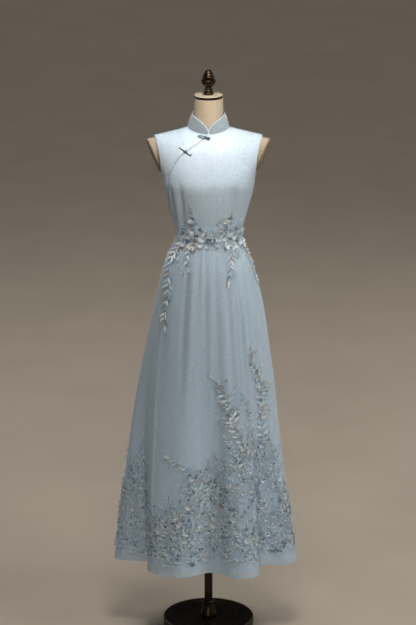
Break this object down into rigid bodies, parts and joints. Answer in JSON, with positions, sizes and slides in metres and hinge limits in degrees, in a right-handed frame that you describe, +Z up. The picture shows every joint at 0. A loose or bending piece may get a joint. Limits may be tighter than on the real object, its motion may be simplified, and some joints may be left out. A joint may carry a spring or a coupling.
{
  "type": "cheongsam dress on a limbless dress form and stand",
  "caption": "Long sleeveless cheongsam with stand collar, curved side opening and floral lace, shown on a limbless dress form with a round base.",
  "frame": {"origin": "centre of the underside of the stand's round base, on the pole's axis", "axes": "+Z up along the pole, -Y out of the dress's front, +X towards the wearer's left"},
  "size_m": [0.5954, 0.3788, 1.87],
  "materials": {
    "satin": "pale dusty blue slub satin with a soft sheen",
    "piping": "lighter self-fabric satin piping",
    "hem_edge": "rolled satin edge, a little deeper blue",
    "lace": "silver-blue and cream embroidered leaves and flowers with small beads",
    "braid": "dark slate-blue twisted cord",
    "linen": "plain cream linen over the form",
    "walnut": "satin brown wood",
    "bronze": "aged bronze, satin"
  },
  "bodies": {
    "root": {"front_panel": "satin", "underlap_panel": "satin", "bodice_back": "satin", "collar": "satin", "skirt_front": "satin", "skirt_side_left": "satin", "skirt_side_right": "satin", "skirt_back_left": "satin", "skirt_back_right": "satin", "neckline_piping": "piping", "collar_piping": "piping", "armhole_binding_left": "piping", "armhole_binding_right": "piping", "hem_roll": "hem_edge", "garland_waist": "lace", "spray_right": "lace", "spray_left": "lace", "branch_tall": "lace", "branch_edge": "lace", "hem_lace_front": "lace", "hem_lace_side_left": "lace", "hem_lace_side_right": "lace", "hem_lace_back_left": "lace", "hem_lace_back_right": "lace", "frog_collar_loop": "braid", "frog_collar_knot": "braid", "frog_chest_right": "braid", "frog_chest_left": "braid", "frog_chest_knot": "braid", "form_torso": "linen", "arm_plate_left": "walnut", "arm_plate_right": "walnut", "base_plate": "bronze", "pole_socket": "bronze", "pole": "bronze", "neck_cap": "bronze", "finial": "bronze"}
  },
  "joints": []
}
